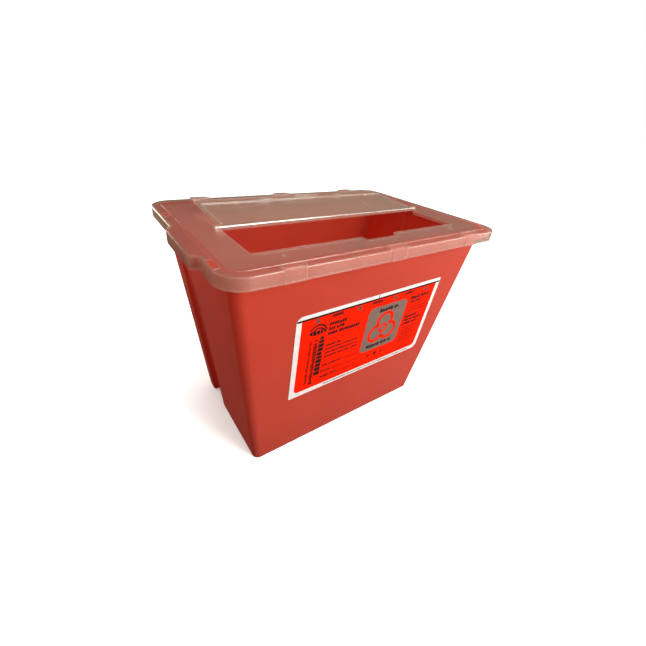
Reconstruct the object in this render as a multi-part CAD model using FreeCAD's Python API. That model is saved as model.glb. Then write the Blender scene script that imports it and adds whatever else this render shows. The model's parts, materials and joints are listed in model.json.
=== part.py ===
import FreeCAD, Part
import os
from math import atan2, cos, degrees, radians, sin

V = FreeCAD.Vector

# Sharps container: a tapered tub, a push-fit lid with a drop opening, a hinged door that lies open on
# the lid, and a label. Millimetres and degrees. The origin is the middle of the tub's base,
# +X runs along the container, -Y is the front with the label, and +Z is up.

# Driving dimensions
HEIGHT = 220.3
LID_HALF_X, LID_HALF_Y = 145.0, 97.3
BASE_HALF_X, BASE_HALF_Y = 111.6, 67.1
TOP_HALF_X, TOP_HALF_Y = 136.8, 84.8

# Tub
WALL = 2.2
TUB_BASE_RADIUS, TUB_TOP_RADIUS = 6.5, 9.0
BASE_EDGE_RADIUS = 2.6
GROOVE_FRONT, GROOVE_BACK = 16.0, 48.5
GROOVE_DEPTH_TOP, GROOVE_DEPTH_BASE = 1.2, 7.0
GROOVE_CORNER_RADIUS = 3.5
FLANGE_HALF_X, FLANGE_HALF_Y, FLANGE_RADIUS = 141.6, 93.4, 17.0
FLANGE_THICKNESS = 3.0
FLANGE_LIP_DEPTH, FLANGE_LIP_THICKNESS = 3.0, 1.6

# Lid
LID_RADIUS = 20.0
PLATE = 1.2
BORDER, BORDER_DROP = 8.6, 0.5
DECK_RADIUS = 12.0
SKIRT_DEPTH, SKIRT_THICKNESS = 10.2, 1.6
LID_EDGE_RADIUS = 1.0
OPENING_HALF_X, OPENING_FRONT, OPENING_BACK = 112.2, -64.2, -8.0
OPENING_RADIUS = 2.0
NOTCH_MIDDLE, NOTCH_HALF_X, NOTCH_DEPTH = 7.0, 19.0, 7.0
END_LIP_DEPTH, END_LIP_THICKNESS, END_LIP_SETBACK = 4.6, 1.2, 0.8
END_LIP_SHORT = 3.0
DIMPLE_RADIUS, DIMPLE_DEPTH = 2.2, 0.7
DIMPLES = [(-92.0, -76.0), (92.0, -76.0)]

# Snaps: windows along the border, with the tub's lugs standing in them
END_SNAPS = [(-70.0, 7.0), (46.0, 4.0)]
LONG_SNAPS = [(-96.0, 8.5), (0.0, 8.5), (96.0, 8.5)]
END_INSET, END_WIDTH = 1.9, 5.2
LONG_INSET, LONG_WIDTH = 3.2, 3.6
LUG_GAP, LUG_SINK = 0.4, 0.9
HOUSING_WALL, HOUSING_RISE, PAD_PROUD = 1.3, 0.8, 0.6

# Grip on the left end: the lid's edge runs out over a matching ear of the tub's flange
GRIP_OUT, GRIP_DEPTH, GRIP_RADIUS = 5.0, 11.3, 1.0
GRIP_FRONT, GRIP_FRONT_ROOT = -50.0, -53.0
GRIP_BACK, GRIP_BACK_ROOT = 6.0, 14.0
GRIP_ROOT_DEPTH = 12.0
EAR_GAP, EAR_DEPTH = 0.4, 8.4

# Door and hinge, given with the door shut; it is stored open
HINGE_Y, HINGE_RISE = -8.0, 1.2
ROD_RADIUS, ROD_CLEARANCE = 1.1, 0.07
LUG_RADIUS, LUG_INNER, LUG_OUTER, PIN_END = 2.4, 112.6, 116.6, 115.6
DOOR_HALF_X, DOOR_LENGTH, DOOR_THICKNESS = 112.0, 70.0, 1.8
DOOR_RADIUS = 4.0
OPEN_TILT = 4.0
RIB_FRONT, RIB_BACK, RIB_HALF_X = -62.4, -13.0, 109.6
RIB_THICKNESS, RIB_FRONT_HEIGHT, RIB_END_HEIGHT = 1.4, 1.3, 0.8
PRONGS, PRONG_HALF_X, PRONG_HEIGHT, PRONG_FRONT = [-44.0, 46.0], 5.5, 2.6, -63.4
CATCH_HALF_X, CATCH_FRONT, CATCH_HEIGHT = 13.0, -68.0, 2.4

# Label
LABEL_HALF_X, LABEL_HALF_Z = 87.1, 47.5
LABEL_RADII = (6.0, 1.5, 6.0, 1.5)
LABEL_X, LABEL_BELOW_TOP, LABEL_SKEW = 6.0, 97.9, 0.7
LABEL_THICKNESS = 0.2

LID_UNDER = HEIGHT - BORDER_DROP - PLATE
HINGE_Z = HEIGHT + HINGE_RISE
FAR = 400.0
MOUTH_CUT_HEIGHT = 20.0


def outline(half_x, half_y, radii, z, x=0.0, y=0.0):
    """Level closed wire: a rectangle with one or four corner radii, centred on x, y at height z."""
    edges = []
    ends = []
    corners = ((1, -1, -90), (1, 1, 0), (-1, 1, 90), (-1, -1, 180))
    four_radii = radii if isinstance(radii, tuple) else (radii,) * 4
    for (sx, sy, start), radius in zip(corners, four_radii):
        centre = V(x + sx * (half_x - radius), y + sy * (half_y - radius), z)
        points = [
            centre + V(radius * cos(radians(a)), radius * sin(radians(a)), 0)
            for a in (start, start + 45, start + 90)
        ]
        ends.append((points[0], points[2]))
        edges.append(Part.Arc(*points).toShape())
        if len(ends) > 1:
            edges.insert(-1, Part.LineSegment(ends[-2][1], points[0]).toShape())
    edges.append(Part.LineSegment(ends[-1][1], ends[0][0]).toShape())
    return Part.Wire(edges)


def slab(half_x, half_y, radius, low, high, x=0.0, y=0.0):
    """Upright prism on a rounded rectangle."""
    face = Part.Face(outline(half_x, half_y, radius, low, x, y))
    return face.extrude(V(0, 0, high - low))


def block(x0, x1, y0, y1, z0, z1):
    """Box between two corners."""
    return Part.makeBox(x1 - x0, y1 - y0, z1 - z0, V(x0, y0, z0))


def fuse_all(shapes):
    """One solid from shapes that touch or overlap."""
    joined = shapes[0].multiFuse(shapes[1:]) if len(shapes) > 1 else shapes[0]
    return joined.removeSplitter()


def mirrored(shape):
    """The same shape on the other end of the container."""
    return shape.mirror(V(0, 0, 0), V(1, 0, 0))


def half_x_at(z):
    """Half the tub's outer length at height z."""
    return BASE_HALF_X + (TOP_HALF_X - BASE_HALF_X) * z / HEIGHT


def half_y_at(z):
    """Half the tub's outer width at height z."""
    return BASE_HALF_Y + (TOP_HALF_Y - BASE_HALF_Y) * z / HEIGHT


def edges_at_height(shape, z):
    """Edges that lie level at height z."""
    return [e for e in shape.Edges if abs(e.BoundBox.ZMin - z) < 0.01 and abs(e.BoundBox.ZMax - z) < 0.01]


def groove_tool(swell):
    """Solid that cuts one end's upright groove; swell moves all its walls out by the tub's wall."""
    low, high = -20.0, HEIGHT + 20.0
    slope = (GROOVE_DEPTH_TOP - GROOVE_DEPTH_BASE) / HEIGHT

    def floor_x(z):
        return half_x_at(z) - (GROOVE_DEPTH_BASE + slope * z) - swell

    profile = [V(floor_x(low), 0, low), V(FAR, 0, low), V(FAR, 0, high), V(floor_x(high), 0, high)]
    face = Part.Face(Part.makePolygon(profile + profile[:1]))
    face.translate(V(0, GROOVE_FRONT - swell, 0))
    tool = face.extrude(V(0, GROOVE_BACK - GROOVE_FRONT + 2 * swell, 0))
    middle_x = floor_x(HEIGHT / 2)
    inner = [e for e in tool.Edges if abs(e.CenterOfMass.x - middle_x) < 1 and e.Length > HEIGHT]
    return tool.makeFillet(GROOVE_CORNER_RADIUS, inner)


def tub_body(inset):
    """Tapered solid of the tub, set in from the outside by inset and raised off the base by it."""
    wires = [
        outline(half_x_at(z) - inset, half_y_at(z) - inset, radius - inset / 2, z)
        for z, radius in ((inset, TUB_BASE_RADIUS), (LID_UNDER, TUB_TOP_RADIUS))
    ]
    solid = Part.makeLoft(wires, True, True)
    solid = solid.makeFillet(BASE_EDGE_RADIUS - inset / 2, edges_at_height(solid, inset))
    groove = groove_tool(inset)
    return solid.cut(groove).cut(mirrored(groove))


def snap_places():
    """Middle, half length and direction of each snap: (x, y, half, along_x)."""
    places = []
    for side in (-1, 1):
        edge_x = side * (LID_HALF_X - END_INSET - END_WIDTH / 2)
        edge_y = side * (LID_HALF_Y - LONG_INSET - LONG_WIDTH / 2)
        places += [(edge_x, y, half, False) for y, half in END_SNAPS]
        places += [(x, edge_y, half, True) for x, half in LONG_SNAPS]
    return places


def snap_block(place, gap, low, high):
    """Upright block filling a snap window, smaller all round by gap."""
    x, y, half, along_x = place
    half_x, half_y = (half, LONG_WIDTH / 2) if along_x else (END_WIDTH / 2, half)
    return slab(half_x - gap, half_y - gap, 1.2 - gap / 2, low, high, x, y)


def grip_prism(inset, low, high):
    """Upright prism of the left grip, set in by inset and reaching back inside the lid."""
    def flare(tip_y, root_y):
        slope = (root_y - tip_y) / GRIP_OUT
        return root_y + slope * (GRIP_ROOT_DEPTH + inset)

    tip_x, root_x = -LID_HALF_X - GRIP_OUT, -LID_HALF_X + GRIP_ROOT_DEPTH + inset
    corners = [
        V(tip_x, GRIP_FRONT, low),
        V(root_x, flare(GRIP_FRONT, GRIP_FRONT_ROOT), low),
        V(root_x, flare(GRIP_BACK, GRIP_BACK_ROOT), low),
        V(tip_x, GRIP_BACK, low),
    ]
    plan = Part.makePolygon(corners + corners[:1])
    if inset:
        plan = plan.makeOffset2D(-inset, 2)
    prism = Part.Face(plan).extrude(V(0, 0, high - low))
    tips = [e for e in prism.Edges if e.BoundBox.ZLength > 1 and e.CenterOfMass.x < -LID_HALF_X]
    return prism.makeFillet(GRIP_RADIUS, tips)


def make_tub():
    """Open tub with a rim flange, the grip's ear and the snap lugs."""
    flange_low = LID_UNDER - FLANGE_THICKNESS
    lip_low = flange_low - FLANGE_LIP_DEPTH
    ear_low = LID_UNDER - EAR_DEPTH
    ear_inset = SKIRT_THICKNESS + EAR_GAP
    ear = grip_prism(ear_inset, ear_low, LID_UNDER)
    ear = ear.cut(block(-FLANGE_HALF_X, 0, -FAR, FAR, ear_low - 1, lip_low))
    flange = slab(FLANGE_HALF_X, FLANGE_HALF_Y, FLANGE_RADIUS, lip_low, LID_UNDER)
    flange = fuse_all([flange, ear])
    under = slab(
        FLANGE_HALF_X - FLANGE_LIP_THICKNESS,
        FLANGE_HALF_Y - FLANGE_LIP_THICKNESS,
        FLANGE_RADIUS - FLANGE_LIP_THICKNESS,
        lip_low - 1,
        flange_low,
    )
    under = under.fuse(grip_prism(ear_inset + FLANGE_LIP_THICKNESS, ear_low - 1, flange_low))
    pieces = [tub_body(0.0), flange.cut(under)]
    for place in snap_places():
        pieces.append(snap_block(place, LUG_GAP, flange_low, HEIGHT - LUG_SINK))
    tub = fuse_all(pieces)
    groove = groove_tool(WALL)
    mouth_outline = outline(
        half_x_at(LID_UNDER) - WALL,
        half_y_at(LID_UNDER) - WALL,
        TUB_TOP_RADIUS - WALL / 2,
        LID_UNDER,
    )
    mouth = Part.Face(mouth_outline).extrude(V(0, 0, MOUTH_CUT_HEIGHT)).cut(groove).cut(mirrored(groove))
    return tub.cut(tub_body(WALL)).cut(mouth)


def opening_tool(grow, low, high):
    """Prism of the drop opening, larger all round by grow, without its latch notch."""
    half_y = (OPENING_BACK - OPENING_FRONT) / 2
    middle = (OPENING_BACK + OPENING_FRONT) / 2
    return slab(OPENING_HALF_X + grow, half_y + grow, OPENING_RADIUS + grow, low, high, 0.0, middle)


def make_shell():
    """The lid's cap: a plate with a sunk border, a skirt and the left grip, before any cuts."""
    low, border_top = HEIGHT - SKIRT_DEPTH, HEIGHT - BORDER_DROP
    cap = slab(LID_HALF_X, LID_HALF_Y, LID_RADIUS, low, border_top)
    cap = fuse_all([cap, grip_prism(0.0, HEIGHT - GRIP_DEPTH, border_top)])
    cap = cap.makeFillet(LID_EDGE_RADIUS, edges_at_height(cap, border_top))
    deck = slab(LID_HALF_X - BORDER, LID_HALF_Y - BORDER, DECK_RADIUS, LID_UNDER, HEIGHT)
    deck = deck.makeFillet(BORDER_DROP * 0.8, edges_at_height(deck, HEIGHT))
    inner = slab(
        LID_HALF_X - SKIRT_THICKNESS,
        LID_HALF_Y - SKIRT_THICKNESS,
        LID_RADIUS - SKIRT_THICKNESS,
        HEIGHT - GRIP_DEPTH - 1,
        LID_UNDER,
    )
    inner_grip = grip_prism(SKIRT_THICKNESS, HEIGHT - GRIP_DEPTH - 1, LID_UNDER)
    return fuse_all([cap, deck]).cut(inner).cut(inner_grip)


def snap_housing(place):
    """Raised rim round a long snap's window, with a slightly proud pad on the skirt outside it."""
    x, y, half, _ = place
    top = HEIGHT + HOUSING_RISE
    pad = block(x - half, x + half, LID_HALF_Y - SKIRT_THICKNESS, LID_HALF_Y + PAD_PROUD,
                HEIGHT - SKIRT_DEPTH, top)
    pad = pad.fuse(block(x - half, x + half, LID_HALF_Y - LONG_INSET, LID_HALF_Y, LID_UNDER, top))
    if y < 0:
        pad = pad.mirror(V(0, 0, 0), V(0, 1, 0))
    return fuse_all([pad, snap_block(place, -HOUSING_WALL, LID_UNDER, top)])


def hinge_lug(side):
    """Lug on the deck that carries one end of the door's rod."""
    length = LUG_OUTER - LUG_INNER
    round_top = Part.makeCylinder(LUG_RADIUS, length, V(LUG_INNER, HINGE_Y, HINGE_Z), V(1, 0, 0))
    foot = block(LUG_INNER, LUG_OUTER, HINGE_Y - LUG_RADIUS, HINGE_Y + LUG_RADIUS, HEIGHT - 1, HINGE_Z)
    below = block(LUG_INNER - 1, LUG_OUTER + 1, HINGE_Y - 9, HINGE_Y + 9, HEIGHT - 9, HEIGHT - 1)
    lug = fuse_all([round_top, foot]).cut(below)
    return lug if side > 0 else mirrored(lug)


def make_lid():
    """Push-fit lid with the drop opening and the lip at its right end, snap windows, grip and hinge lugs."""
    pieces = [make_shell(), hinge_lug(-1), hinge_lug(1)]
    pieces += [snap_housing(place) for place in snap_places() if place[3]]

    lip_low = HEIGHT - END_LIP_DEPTH
    lip = opening_tool(END_LIP_SETBACK + END_LIP_THICKNESS, lip_low, LID_UNDER + 0.5)
    lip = lip.cut(opening_tool(END_LIP_SETBACK, lip_low - 1, HEIGHT))
    lip_front, lip_back = OPENING_FRONT + END_LIP_SHORT, OPENING_BACK - END_LIP_SHORT
    pieces.append(lip.common(block(0.0, FAR, lip_front, lip_back, lip_low - 1, HEIGHT)))
    lid = fuse_all(pieces)

    cuts = [opening_tool(0.0, LID_UNDER - 1, HEIGHT + 1)]
    notch_half_y = (NOTCH_DEPTH + OPENING_RADIUS) / 2
    cuts.append(slab(NOTCH_HALF_X, notch_half_y, 3.0, LID_UNDER - 1, HEIGHT + 1,
                     NOTCH_MIDDLE, OPENING_FRONT - NOTCH_DEPTH + notch_half_y))
    for x, y in DIMPLES:
        cuts.append(Part.makeCylinder(DIMPLE_RADIUS, 2.0, V(x, y, HEIGHT - DIMPLE_DEPTH)))
    cuts += [snap_block(place, 0.0, LID_UNDER - 1, HEIGHT + 1) for place in snap_places()]
    rod_hole = Part.makeCylinder(ROD_RADIUS + ROD_CLEARANCE, 2 * FAR, V(-FAR, HINGE_Y, HINGE_Z), V(1, 0, 0))
    cuts.append(rod_hole)
    return lid.cut(cuts).removeSplitter()


def make_door():
    """Door with its hinge rod, locating ribs, prongs and catch, turned from shut to lying open."""
    low, high = HINGE_Z - DOOR_THICKNESS / 2, HINGE_Z + DOOR_THICKNESS / 2
    free_edge = HINGE_Y - DOOR_LENGTH
    half_y = DOOR_LENGTH / 2 + DOOR_RADIUS
    panel = slab(DOOR_HALF_X, half_y, DOOR_RADIUS, low, high, 0.0, free_edge + half_y)
    panel = panel.cut(block(-FAR, FAR, HINGE_Y, FAR, low - 1, high + 1))
    rims = [
        e for e in panel.Edges
        if e.CenterOfMass.y < HINGE_Y - 1 and e.BoundBox.ZLength < 0.01
    ]
    panel = panel.makeFillet(0.5, rims)
    rod = Part.makeCylinder(ROD_RADIUS, 2 * PIN_END, V(-PIN_END, HINGE_Y, HINGE_Z), V(1, 0, 0))

    top = low + 0.5
    pieces = [panel, rod]
    pieces.append(block(-RIB_HALF_X, RIB_HALF_X, RIB_FRONT, RIB_FRONT + RIB_THICKNESS,
                        low - RIB_FRONT_HEIGHT, top))
    for side in (-1, 1):
        outer, inner = side * RIB_HALF_X, side * (RIB_HALF_X - RIB_THICKNESS)
        pieces.append(block(min(outer, inner), max(outer, inner), RIB_FRONT, RIB_BACK,
                            low - RIB_END_HEIGHT, top))
    for x in PRONGS:
        pieces.append(block(x - PRONG_HALF_X, x + PRONG_HALF_X, RIB_FRONT, RIB_FRONT + 2 * RIB_THICKNESS,
                            low - PRONG_HEIGHT, top))
        hook = block(x - PRONG_HALF_X, x + PRONG_HALF_X, PRONG_FRONT, RIB_FRONT + RIB_THICKNESS,
                     low - PRONG_HEIGHT, low - PRONG_HEIGHT + 1.2)
        pieces.append(hook)
    pieces.append(block(NOTCH_MIDDLE - CATCH_HALF_X, NOTCH_MIDDLE + CATCH_HALF_X,
                        CATCH_FRONT, CATCH_FRONT + RIB_THICKNESS, low - CATCH_HEIGHT, top))
    for x in (NOTCH_MIDDLE - CATCH_HALF_X, NOTCH_MIDDLE + CATCH_HALF_X - RIB_THICKNESS):
        pieces.append(block(x, x + RIB_THICKNESS, CATCH_FRONT, RIB_FRONT + 0.2, low - 1.2, top))
    door = fuse_all(pieces)
    door.rotate(V(0, HINGE_Y, HINGE_Z), V(1, 0, 0), -(180.0 - OPEN_TILT))
    return door


def make_label():
    """Thin label lying on the sloping front wall, a little askew."""
    tilt = degrees(atan2(TOP_HALF_Y - BASE_HALF_Y, HEIGHT))
    face = Part.Face(outline(LABEL_HALF_X, LABEL_HALF_Z, LABEL_RADII, 0.0))
    label = face.extrude(V(0, 0, LABEL_THICKNESS))
    label.rotate(V(0, 0, 0), V(0, 0, 1), LABEL_SKEW)
    label.rotate(V(0, 0, 0), V(1, 0, 0), 90.0 + tilt)
    height = HEIGHT - LABEL_BELOW_TOP * cos(radians(tilt))
    label.translate(V(LABEL_X, -half_y_at(height), height))
    return label


def main():
    """Builds every sub-part and writes one STEP file for each."""
    os.makedirs("parts", exist_ok=True)
    parts = {
        "tub": make_tub(),
        "lid": make_lid(),
        "door": make_door(),
        "front_label": make_label(),
    }
    for name, shape in parts.items():
        if len(shape.Solids) != 1 or not shape.isValid():
            raise SystemExit(f"{name} has {len(shape.Solids)} solids, valid: {shape.isValid()}")
        shape.Solids[0].exportStep(f"parts/{name}.step")
        box = shape.BoundBox
        print(f"{name}: {shape.Volume / 1000:.1f} cm3, x {box.XMin:.1f} to {box.XMax:.1f}, "
              f"y {box.YMin:.1f} to {box.YMax:.1f}, z {box.ZMin:.1f} to {box.ZMax:.1f}")


main()
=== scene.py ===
import json
import random
from math import cos, pi, radians, sin

import bmesh
import bpy
from mathutils import Matrix, Vector


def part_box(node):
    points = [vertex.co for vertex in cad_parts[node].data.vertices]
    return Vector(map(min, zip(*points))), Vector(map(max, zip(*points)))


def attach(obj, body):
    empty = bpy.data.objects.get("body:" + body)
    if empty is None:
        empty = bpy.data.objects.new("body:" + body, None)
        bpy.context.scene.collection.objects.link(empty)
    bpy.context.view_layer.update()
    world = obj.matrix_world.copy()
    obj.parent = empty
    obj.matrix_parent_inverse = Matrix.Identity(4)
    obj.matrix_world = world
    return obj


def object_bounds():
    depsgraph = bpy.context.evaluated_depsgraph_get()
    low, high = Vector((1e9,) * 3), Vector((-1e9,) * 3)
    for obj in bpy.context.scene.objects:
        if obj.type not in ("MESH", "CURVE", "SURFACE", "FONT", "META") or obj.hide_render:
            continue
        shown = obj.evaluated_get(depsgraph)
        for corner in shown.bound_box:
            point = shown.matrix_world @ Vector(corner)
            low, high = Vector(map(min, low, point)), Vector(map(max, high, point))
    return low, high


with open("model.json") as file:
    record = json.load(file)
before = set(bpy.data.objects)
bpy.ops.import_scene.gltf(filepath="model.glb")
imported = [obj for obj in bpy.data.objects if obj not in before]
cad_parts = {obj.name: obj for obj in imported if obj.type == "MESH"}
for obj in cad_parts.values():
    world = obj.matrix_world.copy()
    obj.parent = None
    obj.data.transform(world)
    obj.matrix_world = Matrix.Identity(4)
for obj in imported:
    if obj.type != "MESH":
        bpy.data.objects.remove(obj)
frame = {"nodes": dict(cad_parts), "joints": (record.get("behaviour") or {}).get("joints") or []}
cad_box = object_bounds()

# Sharps container: a red tub, a milky lid with its door lying open, and a printed label on the front.
# Lengths are in metres in the model's own frame; the label's print is laid out in millimetres from
# its middle.

MM = 0.001
NODES = frame["nodes"]


# ---------------------------------------------------------------- shader helpers

def new_material(name):
    """Empty node material and its tree."""
    material = bpy.data.materials.new(name)
    material.use_nodes = True
    material.node_tree.nodes.clear()
    return material, material.node_tree


def put(tree, kind, inputs=None, **settings):
    """New node. An input's value is a number, a colour, or another node's output."""
    node = tree.nodes.new(kind)
    for key, value in settings.items():
        setattr(node, key, value)
    for key, value in (inputs or {}).items():
        if isinstance(value, bpy.types.NodeSocket):
            tree.links.new(value, node.inputs[key])
        else:
            node.inputs[key].default_value = value
    return node


def maths(tree, operation, first, second=0.0, clamp=False):
    """Result of one sum on two values."""
    node = put(tree, "ShaderNodeMath", {0: first, 1: second}, operation=operation, use_clamp=clamp)
    return node.outputs[0]


def rescale(tree, value, low, high, to_low=0.0, to_high=1.0):
    """Value moved from one range to another, held at its ends."""
    node = put(tree, "ShaderNodeMapRange", {
        "Value": value, "From Min": low, "From Max": high, "To Min": to_low, "To Max": to_high,
    })
    return node.outputs["Result"]


def blend_colour(tree, share, first, second, kind="MIX"):
    """Two colours mixed by share."""
    node = put(tree, "ShaderNodeMix", data_type="RGBA", blend_type=kind)
    for socket, value in ((node.inputs["Factor"], share), (node.inputs[6], first), (node.inputs[7], second)):
        if isinstance(value, bpy.types.NodeSocket):
            tree.links.new(value, socket)
        else:
            socket.default_value = value
    return node.outputs[2]


def place(tree, stretch=(1, 1, 1), turn=(0, 0, 0)):
    """Position in the piece's own frame, in metres, turned and then stretched."""
    coords = put(tree, "ShaderNodeTexCoord")
    turned = put(tree, "ShaderNodeMapping", {
        "Vector": coords.outputs["Object"], "Rotation": [radians(angle) for angle in turn],
    })
    return put(tree, "ShaderNodeMapping", {"Vector": turned.outputs[0], "Scale": stretch}).outputs[0]


def noise(tree, scale, stretch=(1, 1, 1), detail=3.0, turn=(0, 0, 0)):
    """Noise of scale waves to the metre."""
    node = put(tree, "ShaderNodeTexNoise", {
        "Vector": place(tree, stretch, turn), "Scale": scale, "Detail": detail,
    })
    return node.outputs["Fac"]


def scratches(tree, stretch, scale, width, turn):
    """Fine scratches where a stretched noise crosses its middle value, in scattered patches."""
    crossing = maths(tree, "SUBTRACT", noise(tree, scale, stretch, 0.0, turn), 0.5)
    line = rescale(tree, maths(tree, "ABSOLUTE", crossing), 0.0, width, 1.0, 0.0)
    patches = rescale(tree, noise(tree, 38.0, detail=2.0), 0.56, 0.70)
    return maths(tree, "MULTIPLY", line, patches)


def edge_mask(tree, radius):
    """1 along sharp edges and 0 on flat faces, by how far a rounded normal turns from the face's own."""
    rounded = put(tree, "ShaderNodeBevel", {"Radius": radius}, samples=4)
    true_normal = put(tree, "ShaderNodeNewGeometry").outputs["Normal"]
    dot = put(tree, "ShaderNodeVectorMath", {0: rounded.outputs[0], 1: true_normal}, operation="DOT_PRODUCT")
    return rescale(tree, dot.outputs["Value"], 0.97, 0.80)


def bumps(tree, layers, edge_radius=None):
    """Normal from (height, strength, distance) layers laid over each other, on softly rounded edges."""
    normal = None
    if edge_radius:
        normal = put(tree, "ShaderNodeBevel", {"Radius": edge_radius}, samples=4).outputs[0]
    for height, strength, distance in layers:
        inputs = {"Height": height, "Strength": strength, "Distance": distance}
        if normal is not None:
            inputs["Normal"] = normal
        normal = put(tree, "ShaderNodeBump", inputs).outputs[0]
    return normal


def close(tree, shader):
    """Ends a material with its surface shader."""
    put(tree, "ShaderNodeOutputMaterial", {"Surface": shader})


# ---------------------------------------------------------------- materials

PLASTIC_IOR, RED_IOR = 1.49, 1.45
RED_TRANSLUCENCY, MILK_TRANSLUCENCY = 0.45, 0.45
RED_DEEP, RED_LIGHT = (0.63, 0.070, 0.034, 1), (0.69, 0.080, 0.041, 1)
RED_SCUFFED, RED_EDGE_WEAR_AND_HIGHLIGHT, RED_THROUGH = (0.74, 0.15, 0.10, 1), (0.80, 0.17, 0.12, 1), (0.94, 0.14, 0.07, 1)
RED_SHEEN, RED_SHEEN_ROUGHNESS, RED_SHEEN_TINT = 0.22, 0.5, (1.0, 0.86, 0.80, 1)
LID_TINT, DOOR_TINT, CLEAR_TINT = (0.97, 0.76, 0.64, 1), (0.92, 0.80, 0.68, 1), (0.97, 0.95, 0.92, 1)
ROD_REACH = 1.3 * MM
INK_SPECULAR = 0.06
LID_HAZE, DOOR_HAZE = 0.14, 0.14
SKIRT_HAZE, BORDER_HAZE, EDGE_HAZE = 0.0, 0.04, 0.24
EDGE_GLINT, ROD_GLINT = 0.11, 0.24
BORDER_BELOW_HINGE = 1.5 * MM
LID_HALF_X, LID_HALF_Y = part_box("lid")[1][0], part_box("lid")[1][1]
SKIRT_ZONE = 12 * MM


def red_plastic():
    """Tub: satin red polypropylene, a little translucent, with mould grain, scuffs and edges painted paler,
    partly as rubbed wear and partly as a painted highlight.
    """
    material, tree = new_material("red_polypropylene")
    cloudy = noise(tree, 14.0, detail=2.0)
    scuffs = scratches(tree, (1.0, 1.0, 0.06), 150.0, 0.010, (4, 7, 0))
    edges = edge_mask(tree, 0.8 * MM)
    base = blend_colour(tree, rescale(tree, cloudy, 0.3, 0.7), RED_DEEP, RED_LIGHT)
    base = blend_colour(tree, maths(tree, "MULTIPLY", scuffs, 0.30), base, RED_SCUFFED)
    # Edges painted paler: partly rubbed wear, partly a painted highlight along the rims.
    base = blend_colour(tree, maths(tree, "MULTIPLY", edges, 0.50), base, RED_EDGE_WEAR_AND_HIGHLIGHT)
    roughness = rescale(tree, noise(tree, 55.0), 0.3, 0.7, 0.46, 0.54)
    roughness = maths(tree, "ADD", roughness, maths(tree, "MULTIPLY", scuffs, 0.15))
    normal = bumps(tree, (
        (noise(tree, 42.0, detail=1.0), 0.12, 0.5 * MM),
        (noise(tree, 2600.0, detail=2.0), 0.20, 0.05 * MM),
        (scuffs, 0.20, -0.03 * MM),
    ), 0.6 * MM)
    surface = put(tree, "ShaderNodeBsdfPrincipled", {
        "Base Color": base, "Roughness": roughness, "IOR": RED_IOR, "Normal": normal,
        "Sheen Weight": RED_SHEEN, "Sheen Roughness": RED_SHEEN_ROUGHNESS, "Sheen Tint": RED_SHEEN_TINT,
    })
    through = put(tree, "ShaderNodeBsdfTranslucent", {"Color": RED_THROUGH, "Normal": normal})
    close(tree, put(tree, "ShaderNodeMixShader", {
        0: RED_TRANSLUCENCY, 1: surface.outputs[0], 2: through.outputs[0],
    }).outputs[0])
    return material


def near_axis(tree, point, radius):
    """1 within radius of the line through point along x, and 0 further out."""
    coords = put(tree, "ShaderNodeTexCoord")
    away = put(tree, "ShaderNodeVectorMath", {0: coords.outputs["Object"], 1: point}, operation="SUBTRACT")
    across = put(tree, "ShaderNodeVectorMath", {0: away.outputs[0], 1: (0, 1, 1)}, operation="MULTIPLY")
    reach = put(tree, "ShaderNodeVectorMath", {0: across.outputs[0]}, operation="LENGTH")
    return maths(tree, "LESS_THAN", reach.outputs["Value"], radius)


def skirt_faces(tree):
    """1 on the upright faces round the lid's outside, and 0 elsewhere."""
    coords = put(tree, "ShaderNodeTexCoord")
    height = put(tree, "ShaderNodeSeparateXYZ", {0: coords.outputs["Normal"]}).outputs["Z"]
    upright = rescale(tree, maths(tree, "ABSOLUTE", height), 0.3, 0.7, 1.0, 0.0)
    position = put(tree, "ShaderNodeSeparateXYZ", {0: coords.outputs["Object"]})
    beyond = [
        maths(tree, "GREATER_THAN", maths(tree, "ABSOLUTE", position.outputs[axis]), half - SKIRT_ZONE)
        for axis, half in (("X", LID_HALF_X), ("Y", LID_HALF_Y))
    ]
    return maths(tree, "MULTIPLY", upright, maths(tree, "MAXIMUM", *beyond))


def frosting(tree):
    """Extra haze of the frosted skirt, with a fine bright speckle."""
    speckle = rescale(tree, noise(tree, 1100.0, detail=2.0), 0.45, 0.75, 0.0, 0.10)
    streaks = rescale(tree, noise(tree, 90.0, (1.0, 1.0, 0.25), 2.0), 0.35, 0.65, -0.03, 0.03)
    return maths(tree, "ADD", maths(tree, "ADD", SKIRT_HAZE, speckle), streaks)


def below(tree, height):
    """1 under this height on the piece and 0 above it."""
    coords = put(tree, "ShaderNodeTexCoord").outputs["Object"]
    return maths(tree, "LESS_THAN", put(tree, "ShaderNodeSeparateXYZ", {0: coords}).outputs["Z"], height)


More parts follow.
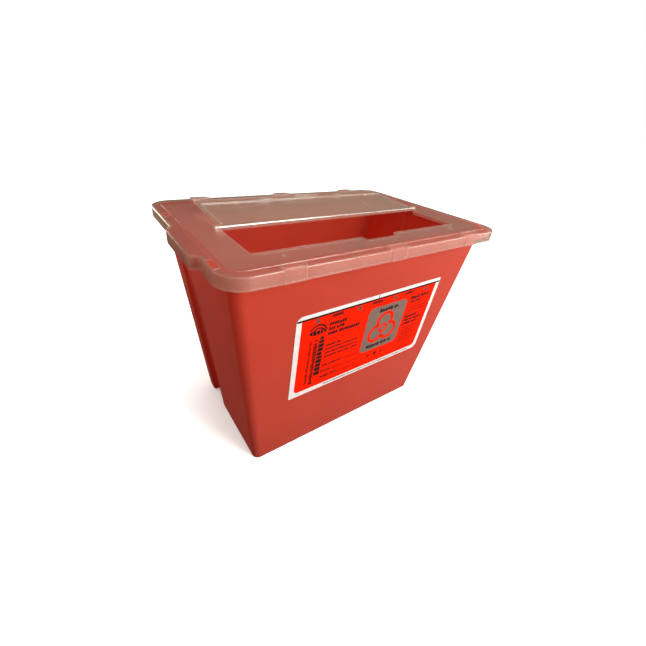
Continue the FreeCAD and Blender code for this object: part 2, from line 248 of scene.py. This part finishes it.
def milky_plastic(name, haze, tint, rod_at=None):
    """Lid and door: natural polypropylene. haze is the share of light that each face scatters.

    Solid rounded stretches glint: the edges a little, and a clear rod about rod_at far more.
    """
    material, tree = new_material(name)
    cloudy = rescale(tree, noise(tree, 22.0, detail=3.0), 0.35, 0.65, -0.008, 0.008)
    flow = rescale(tree, noise(tree, 60.0, (0.15, 1.0, 1.0), 2.0), 0.35, 0.65, -0.006, 0.006)
    marks = scratches(tree, (1.0, 0.05, 1.0), 170.0, 0.008, (0, 0, 24))
    edges = edge_mask(tree, 0.7 * MM)
    share = maths(tree, "ADD", maths(tree, "ADD", haze, cloudy), flow)
    share = maths(tree, "ADD", share, maths(tree, "MULTIPLY", skirt_faces(tree), frosting(tree)))
    border = below(tree, HINGE_AT[2] - BORDER_BELOW_HINGE)
    share = maths(tree, "ADD", share, maths(tree, "MULTIPLY", border, BORDER_HAZE))
    share = maths(tree, "ADD", share, maths(tree, "MULTIPLY", edges, EDGE_HAZE))
    share = maths(tree, "ADD", share, maths(tree, "MULTIPLY", marks, 0.05), clamp=True)
    roughness = rescale(tree, noise(tree, 80.0), 0.3, 0.7, 0.15, 0.21)
    roughness = maths(tree, "ADD", roughness, maths(tree, "MULTIPLY", marks, 0.12))
    normal = bumps(tree, (
        (noise(tree, 1500.0, detail=2.0), 0.05, 0.04 * MM),
        (marks, 0.10, -0.02 * MM),
    ), 0.5 * MM)
    body = put(tree, "ShaderNodeBsdfPrincipled", {
        "Base Color": tint, "Roughness": roughness, "IOR": PLASTIC_IOR, "Normal": normal,
    })
    through = put(tree, "ShaderNodeBsdfTranslucent", {"Color": tint, "Normal": normal})
    milk = put(tree, "ShaderNodeMixShader", {
        0: MILK_TRANSLUCENCY, 1: body.outputs[0], 2: through.outputs[0],
    })
    gloss = put(tree, "ShaderNodeBsdfGlossy", {
        "Color": (1, 1, 1, 1), "Roughness": roughness, "Normal": normal,
    })
    clear = put(tree, "ShaderNodeBsdfTransparent", {"Color": CLEAR_TINT})
    backfacing = put(tree, "ShaderNodeNewGeometry").outputs["Backfacing"]
    ior = rescale(tree, backfacing, 0.0, 1.0, PLASTIC_IOR, 1 / PLASTIC_IOR)
    fresnel = put(tree, "ShaderNodeFresnel", {"IOR": ior, "Normal": normal})
    glint = maths(tree, "MULTIPLY", edges, EDGE_GLINT)
    if rod_at:
        rod = near_axis(tree, rod_at, ROD_REACH)
        glint = maths(tree, "MAXIMUM", glint, maths(tree, "MULTIPLY", rod, ROD_GLINT))
    mirror = maths(tree, "ADD", fresnel.outputs[0], glint, clamp=True)
    sheet = put(tree, "ShaderNodeMixShader", {0: mirror, 1: clear.outputs[0], 2: gloss.outputs[0]})
    close(tree, put(tree, "ShaderNodeMixShader", {
        0: share, 1: sheet.outputs[0], 2: milk.outputs[0],
    }).outputs[0])
    return material


def ink(name, colour, worn, gloss=0.42):
    """Printed film: one ink with a faint uneven lay-down, fine grain and rubbed specks."""
    material, tree = new_material(name)
    uneven = rescale(tree, noise(tree, 160.0, detail=3.0), 0.35, 0.65)
    specks = rescale(tree, noise(tree, 900.0, detail=2.0), 0.68, 0.74)
    base = blend_colour(tree, uneven, colour, tuple(c * 0.90 for c in colour[:3]) + (1,))
    base = blend_colour(tree, maths(tree, "MULTIPLY", specks, 0.5), base, worn)
    roughness = rescale(tree, noise(tree, 300.0), 0.3, 0.7, gloss - 0.06, gloss + 0.08)
    normal = bumps(tree, ((noise(tree, 1800.0, detail=2.0), 0.10, 0.02 * MM),
                          (noise(tree, 70.0, detail=1.0), 0.15, 0.15 * MM)))
    close(tree, put(tree, "ShaderNodeBsdfPrincipled", {
        "Base Color": base, "Roughness": roughness, "Normal": normal, "Specular IOR Level": INK_SPECULAR,
    }).outputs[0])
    return material


def seen_directly(tree):
    """1 for what the camera sees with nothing in front, and 0 through plastic or as light on the object."""
    path = put(tree, "ShaderNodeLightPath")
    clear = maths(tree, "LESS_THAN", path.outputs["Transparent Depth"], 0.5)
    return maths(tree, "MULTIPLY", path.outputs["Is Camera Ray"], clear)


def floor_material():
    """Plain pale floor, which throws little light back on the object."""
    material, tree = new_material("floor_paint")
    colour = blend_colour(tree, seen_directly(tree), FLOOR_BOUNCE, FLOOR_PALE)
    close(tree, put(tree, "ShaderNodeBsdfDiffuse", {"Color": colour}).outputs[0])
    return material


WHITE_FILM = ink("label_film", (0.80, 0.76, 0.74, 1), (0.70, 0.66, 0.63, 1))
ORANGE_INK = ink("orange_ink", (0.92, 0.014, 0.001, 1), (0.95, 0.05, 0.015, 1))
BLACK_INK = ink("black_ink", (0.022, 0.012, 0.012, 1), (0.16, 0.05, 0.04, 1))
SOFT_INK = ink("soft_black_ink", (0.13, 0.008, 0.004, 1), (0.32, 0.02, 0.01, 1))
BADGE_INK = ink("badge_ink", (0.20, 0.135, 0.108, 1), (0.28, 0.14, 0.11, 1))
GREY_INK = ink("grey_ink", (0.10, 0.075, 0.065, 1), (0.30, 0.12, 0.08, 1))
SOFT_GREY_INK = ink("foot_ink", (0.20, 0.17, 0.16, 1), (0.50, 0.46, 0.44, 1))


def hinge_point():
    """A point on the door's hinge axis, in metres."""
    joint = next(joint for joint in frame["joints"] if joint["name"] == "door_hinge")
    return joint["pos_m"]


def finish_node(name, material):
    """Gives a CAD node its material."""
    node = NODES[name]
    if not node.material_slots:
        node.data.materials.append(material)
    for material_slot in node.material_slots:
        material_slot.link = "OBJECT"
        material_slot.material = material


HINGE_AT = hinge_point()
finish_node("tub", red_plastic())
finish_node("lid", milky_plastic("lid_polypropylene", LID_HAZE, LID_TINT))
finish_node("door", milky_plastic("door_polypropylene", DOOR_HAZE, DOOR_TINT, HINGE_AT))
finish_node("front_label", WHITE_FILM)


# ---------------------------------------------------------------- label print

LAYER = 0.03 * MM
PANEL_LEFT, PANEL_RIGHT, PANEL_LOW, PANEL_HIGH, PANEL_RADIUS = -82.0, 82.0, -42.0, 43.0, 5.0
FILM_HALF = 86.6
FILL_LINE_THICKNESS = 1.9
BADGE_X, BADGE_Y = 18.0, 4.0
RING_RADIUS, RING_REACH = 9.4, 9.6
WORD_SEED = 7


def label_matrix():
    """From the label's own axes (right, up, out of the print) to the frame, at the middle of its face."""
    mesh = NODES["front_label"].data
    front = max(mesh.polygons, key=lambda polygon: -polygon.normal.y * polygon.area)
    face = [p for p in mesh.polygons if p.normal.dot(front.normal) > 0.999]
    face = [p for p in face if abs((p.center - front.center).dot(front.normal)) < LAYER]
    keys = [key for polygon in face for key in polygon.edge_keys]
    rim = [key for key in keys if keys.count(key) == 1]
    points = {index: mesh.vertices[index].co for key in rim for index in key}
    runs = [points[b] - points[a] for a, b in rim]
    side = max(runs, key=lambda run: abs(run.x))
    right = (side if side.x > 0 else -side).normalized()
    up = front.normal.cross(right)
    middle = front.center.copy()
    for axis in (right, up):
        reach = [axis.dot(point) for point in points.values()]
        middle += axis * ((min(reach) + max(reach)) / 2 - axis.dot(middle))
    matrix = Matrix((right, up, front.normal)).transposed().to_4x4()
    return Matrix.Translation(middle) @ matrix


LABEL = label_matrix()


def rounded_box(left, right, low, high, radius, steps=6, top_radius=None):
    """Outline of a rectangle with round corners, counterclockwise; the top two can differ."""
    points = []
    top = radius if top_radius is None else top_radius
    corners = (
        (right, low, -90, radius), (right, high, 0, top), (left, high, 90, top), (left, low, 180, radius),
    )
    for x, y, start, reach in corners:
        centre_x = x - reach if x == right else x + reach
        centre_y = y - reach if y == high else y + reach
        for step in range(steps + 1):
            angle = radians(start + 90 * step / steps)
            points.append((centre_x + reach * cos(angle), centre_y + reach * sin(angle)))
    return points


def bar(left, right, middle, height):
    """Outline of one printed bar."""
    return rounded_box(left, right, middle - height / 2, middle + height / 2, height * 0.25, 2)


def upright(bottom, top, middle, width):
    """Outline of one upright bar."""
    return rounded_box(middle - width / 2, middle + width / 2, bottom, top, width * 0.25, 2)


def disc(x, y, radius, steps=24):
    """Outline of a disc."""
    angles = [2 * pi * i / steps for i in range(steps)]
    return [(x + radius * cos(angle), y + radius * sin(angle)) for angle in angles]


def band(x, y, radius, width, start, end, steps=28):
    """Outline of an arc of a ring, from start to end in degrees."""
    angles = [radians(start + (end - start) * i / steps) for i in range(steps + 1)]
    outer = [(x + (radius + width / 2) * cos(a), y + (radius + width / 2) * sin(a)) for a in angles]
    inner = [(x + (radius - width / 2) * cos(a), y + (radius - width / 2) * sin(a)) for a in angles]
    return outer + inner[::-1]


def glyph_blocks(length, height, letters, capitals):
    """Small blocks standing for a line of text: (start, end, low, high) along a line of this length."""
    blocks = []
    x = 0.0
    letters_left = random.randint(*letters)
    while x < length:
        width = height * random.uniform(0.42, 0.66)
        high = 0.42 if random.random() < (0.8 if capitals else 0.3) else 0.24
        low = -0.42 if random.random() < (0.8 if capitals else 0.15) else -0.28
        blocks.append((x, min(x + width, length), low * height, high * height))
        letters_left -= 1
        x += width + height * (0.10 if letters_left else 0.42)
        if not letters_left:
            letters_left = random.randint(*letters)
    return [block for block in blocks if block[1] - block[0] > 0.2 * height]


def words(left, right, middle, height, capitals=False):
    """A level line of text, drawn as plain blocks."""
    return [rounded_box(left + start, left + end, middle + low, middle + high, 0.08 * height, 1)
            for start, end, low, high in glyph_blocks(right - left, height, (3, 9), capitals)]


def upright_words(bottom, top, middle, width, letters=(3, 9), capitals=False):
    """A line of text that reads upwards, drawn as plain blocks."""
    return [rounded_box(middle - high, middle - low, bottom + start, bottom + end, 0.08 * width, 1)
            for start, end, low, high in glyph_blocks(top - bottom, width, letters, capitals)]


def print_piece(name, outlines, material, layer):
    """One thin printed piece on the label, at a layer above the film."""
    mesh = bpy.data.meshes.new(name)
    solid = bmesh.new()
    low, high = (layer - 0.5) * LAYER, (layer + 0.5) * LAYER
    for outline in outlines:
        rings = [[solid.verts.new((x * MM, y * MM, z)) for x, y in outline] for z in (low, high)]
        solid.faces.new(rings[1])
        solid.faces.new(rings[0][::-1])
        count = len(outline)
        for i in range(count):
            j = (i + 1) % count
            solid.faces.new((rings[0][i], rings[0][j], rings[1][j], rings[1][i]))
    solid.transform(LABEL)
    bmesh.ops.recalc_face_normals(solid, faces=solid.faces)
    solid.to_mesh(mesh)
    solid.free()
    mesh.materials.append(material)
    piece = bpy.data.objects.new(name, mesh)
    bpy.context.scene.collection.objects.link(piece)
    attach(piece, "container")
    return piece


def print_label():
    """The label's print: panel, fill line, badge with its motif, blocks of text, emblem and icons."""
    random.seed(WORD_SEED)
    panel = rounded_box(PANEL_LEFT, PANEL_RIGHT, PANEL_LOW, PANEL_HIGH, PANEL_RADIUS, top_radius=0.3)
    print_piece("label_panel", [panel], ORANGE_INK, 1)
    fill_line = bar(-FILM_HALF, FILM_HALF, PANEL_HIGH, FILL_LINE_THICKNESS)
    tick = upright(PANEL_HIGH + 1, PANEL_HIGH + 4.2, 0.5, 0.9)
    print_piece("label_fill_line", [fill_line, tick], BLACK_INK, 2)
    arrows = []
    for x in (-66.0, -21.0, 24.0, 67.0):
        arrows += [upright(38.5, 41.6, x, 2.2), [(x - 3.2, 38.8), (x, 35.6), (x + 3.2, 38.8)]]
    print_piece("label_edge_arrows", arrows, GREY_INK, 2)
    edge_words = []
    for left, right in ((-51, -37), (-6, 7), (37, 51)):
        edge_words += words(left, right, 39.6, 3.6, capitals=True)
    print_piece("label_edge_words", edge_words, BLACK_INK, 2)

    left_text = []
    for right, middle in ((-34, 31.0), (-35, 26.0), (-15, 20.5)):
        left_text += words(-53.0, right, middle, 4.2, capitals=True)
    for right, middle, height in ((-36, 7.0, 3.6), (-15, 2.6, 3.0), (-15, -2.0, 3.0), (-14, -6.6, 3.0)):
        left_text += words(-53.0, right, middle, height)
    for left, right, middle in ((-53, -29, -17.5), (-54, -42, -25.0), (-54, -34, -32.5)):
        left_text += words(left, right, middle, 3.4)
    print_piece("label_text_left", left_text, BLACK_INK, 2)
    rules = [bar(-28, -9, -18.6, 0.7), bar(-41, -9, -26.2, 0.7), bar(-33, -8, -33.8, 0.7)]
    print_piece("label_write_on_rules", rules, SOFT_INK, 2)

    right_text = []
    for left, right, middle, height in ((48, 76, 31.5, 4.4), (50, 66, 26.6, 3.8), (48, 66, 7.5, 3.6),
                                        (48, 76, 3.0, 3.6), (48, 72, -1.5, 3.6)):
        right_text += words(left, right, middle, height, capitals=True)
    print_piece("label_text_right", right_text, BLACK_INK, 2)
    small_text = words(50, 76, 18.5, 2.2) + words(50, 76, 15.0, 2.2)
    for row in range(8):
        small_text += words(50, 74 - 3 * (row % 3), -7.5 - 2.8 * row, 2.0)
    small_text += words(52, 71, -38.0, 2.2)
    print_piece("label_small_text", small_text, SOFT_INK, 2)

    print_piece("label_badge", [rounded_box(-7, 44, -22, 33, 6)], BADGE_INK, 2)
    badge_words = words(7, 33, 27.5, 5.0, capitals=True) + words(1, 35, -16.5, 5.0, capitals=True)
    print_piece("label_badge_words", badge_words, BLACK_INK, 3)
    rings = []
    for angle in (90, 210, 330):
        ring_x = BADGE_X + RING_REACH * cos(radians(angle))
        ring_y = BADGE_Y + RING_REACH * sin(radians(angle))
        rings.append(band(ring_x, ring_y, RING_RADIUS, 3.6, angle - 132, angle + 132))
    print_piece("label_badge_motif", rings, ORANGE_INK, 3)
    print_piece("label_badge_hub", [band(BADGE_X, BADGE_Y, 4.6, 2.6, 0, 359.9)], ORANGE_INK, 4)

    emblem = [band(-64.5, 25.0, 9.0, 1.6, 15, 150), band(-64.5, 22.5, 8.0, 1.4, 20, 150)]
    print_piece("label_emblem", emblem + words(-72.5, -55.5, 26.0, 5.4, capitals=True), BLACK_INK, 2)
    bold = upright_words(-27, 20, -58.8, 7.4, letters=(14, 14), capitals=True)
    print_piece("label_side_text_bold", bold, BLACK_INK, 2)
    band_text = upright_words(-37, 18, -64.8, 4.8, letters=(12, 20), capitals=True)
    print_piece("label_side_text", band_text + upright_words(-34, 18, -70.5, 3.2), SOFT_INK, 2)
    icons = [disc(7, -30, 1.7, 16), disc(17, -30, 2.4, 16), upright(-31.5, -28.5, 26, 2.8)]
    print_piece("label_icons", icons, SOFT_INK, 2)
    print_piece("label_foot_text", words(-48, 74, -44.7, 2.0, capitals=True), SOFT_GREY_INK, 1)


print_label()


# ---------------------------------------------------------------- stage, light and camera

CAMERA_AT = (-0.2013, -0.2597, 0.3043)
CAMERA_HEADING, CAMERA_PITCH, CAMERA_ROLL = -0.6392, 1.0299, 0.0949
CAMERA_LENS = 18.46
CAMERA_SHIFT = (0.01736, -0.01523)
FLOOR_HALF = 40.0
FLOOR_PALE, FLOOR_BOUNCE = (0.85, 0.85, 0.85, 1), (0.046, 0.031, 0.023, 1)
KEY_AT, KEY_SIZE, KEY_POWER = (0.26, -0.70, 0.48), 0.45, 7.3
SIDE_AT, SIDE_SIZE, SIDE_POWER = (0.95, -0.60, 0.28), 0.70, 6.6
LEFT_AT, LEFT_SIZE, LEFT_POWER = (-0.45, -0.55, 0.50), 0.30, 0.6
BACK_AT, BACK_SIZE, BACK_POWER = (-0.35, 0.95, 0.15), 0.26, 2.6
SKY_AT, SKY_SIZE, SKY_POWER = (-0.80, 0.35, 0.90), 0.20, 0.4
FILL_AT, FILL_SIZE, FILL_POWER = (-1.05, 0.05, 0.15), 0.80, 2.4
TOP_AT, TOP_SIZE, TOP_POWER = (0.30, -0.22, 0.95), 0.50, 5.4
FLOOR_LIGHT, FLOOR_LIGHT_ANGLE = 4.4, 60
WARM, COOL, AMBER, CREAM = (1.0, 0.90, 0.78), (0.55, 0.70, 1.0), (1.0, 0.50, 0.28), (1.0, 0.78, 0.62, 1)
AMBIENT, BACKGROUND = 0.12, 1.0


def link(item):
    """Puts an object in the scene."""
    bpy.context.scene.collection.objects.link(item)
    return item


def make_floor():
    """Wide level floor under the object."""
    mesh = bpy.data.meshes.new("floor")
    corners = [(-FLOOR_HALF, -FLOOR_HALF, 0), (FLOOR_HALF, -FLOOR_HALF, 0),
               (FLOOR_HALF, FLOOR_HALF, 0), (-FLOOR_HALF, FLOOR_HALF, 0)]
    mesh.from_pydata(corners, [], [(0, 1, 2, 3)])
    mesh.materials.append(floor_material())
    floor = link(bpy.data.objects.new("floor", mesh))
    return floor


def area_light(name, at, size, power, colour=(1, 1, 1)):
    """Square soft light aimed at the middle of the object."""
    lamp = bpy.data.lights.new(name, "AREA")
    lamp.size = size
    lamp.energy = power
    lamp.color = colour
    light = link(bpy.data.objects.new(name, lamp))
    middle = (Vector(cad_box[0]) + Vector(cad_box[1])) / 2
    light.location = at
    light.rotation_euler = (Vector(at) - middle).to_track_quat("Z", "Y").to_euler()


def make_light(floor):
    """Soft lights from the front, the sides, the back and above, an evenly lit floor and a pale surround."""
    area_light("key", KEY_AT, KEY_SIZE, KEY_POWER)
    area_light("side", SIDE_AT, SIDE_SIZE, SIDE_POWER)
    area_light("left", LEFT_AT, LEFT_SIZE, LEFT_POWER, WARM)
    area_light("back", BACK_AT, BACK_SIZE, BACK_POWER, WARM)
    area_light("sky", SKY_AT, SKY_SIZE, SKY_POWER, COOL)
    area_light("fill", FILL_AT, FILL_SIZE, FILL_POWER, AMBER)
    area_light("top", TOP_AT, TOP_SIZE, TOP_POWER, WARM)
    lamp = bpy.data.lights.new("floor_light", "SUN")
    lamp.energy = FLOOR_LIGHT
    lamp.angle = radians(FLOOR_LIGHT_ANGLE)
    floor_light = link(bpy.data.objects.new("floor_light", lamp))
    lit = bpy.data.collections.new("lit_by_floor_light")
    lit.objects.link(floor)
    floor_light.light_linking.receiver_collection = lit
    world = bpy.data.worlds.new("surround")
    world.use_nodes = True
    tree = world.node_tree
    tree.nodes.clear()
    seen = seen_directly(tree)
    strength = rescale(tree, seen, 0.0, 1.0, AMBIENT, BACKGROUND)
    colour = blend_colour(tree, seen, CREAM, (1, 1, 1, 1))
    background = put(tree, "ShaderNodeBackground", {"Color": colour, "Strength": strength})
    put(tree, "ShaderNodeOutputWorld", {"Surface": background.outputs[0]})
    bpy.context.scene.world = world


def make_camera():
    """Camera close above the left front corner, looking down across the lid."""
    lens = bpy.data.cameras.new("camera")
    lens.lens = CAMERA_LENS
    lens.shift_x, lens.shift_y = CAMERA_SHIFT
    lens.clip_start = 0.01
    camera = link(bpy.data.objects.new("camera", lens))
    turn = (Matrix.Rotation(CAMERA_HEADING, 4, "Z") @ Matrix.Rotation(CAMERA_PITCH, 4, "X")
            @ Matrix.Rotation(CAMERA_ROLL, 4, "Z"))
    camera.matrix_world = Matrix.Translation(CAMERA_AT) @ turn
    bpy.context.scene.camera = camera


make_light(make_floor())
make_camera()
bpy.context.scene.view_settings.view_transform = "Standard"
